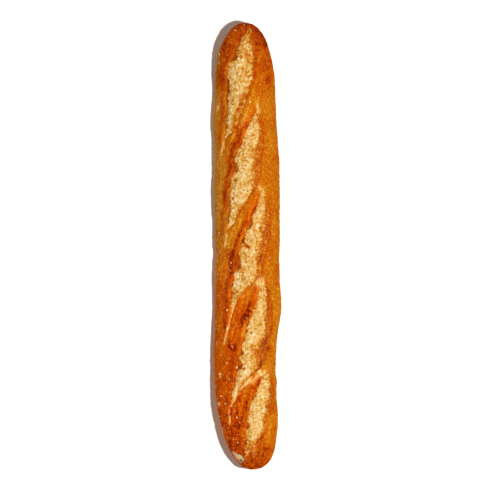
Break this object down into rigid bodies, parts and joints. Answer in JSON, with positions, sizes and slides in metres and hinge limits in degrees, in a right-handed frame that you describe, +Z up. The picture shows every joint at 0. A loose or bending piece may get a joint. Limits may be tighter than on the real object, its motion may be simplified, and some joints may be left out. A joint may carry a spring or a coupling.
{
  "type": "baguette",
  "caption": "Long slim loaf of crusty bread with rounded ends, slanting slashes opened along its crown into pale torn crumb, and a flat base to lie on.",
  "frame": {"origin": "middle of the loaf's footprint, on the surface it lies on", "axes": "+X along the loaf towards the end where the first slash starts, +Y across it towards the ears' side, +Z up"},
  "size_m": [0.48, 0.0736, 0.0535],
  "materials": {
    "crust": "golden to red-brown baked crust with a soft gloss, darker at the ends and along the ears",
    "crumb": "matt, craggy torn crumb in the slashes, cream to amber, toasted at its edges"
  },
  "bodies": {
    "root": {"loaf": "crust"}
  },
  "joints": []
}
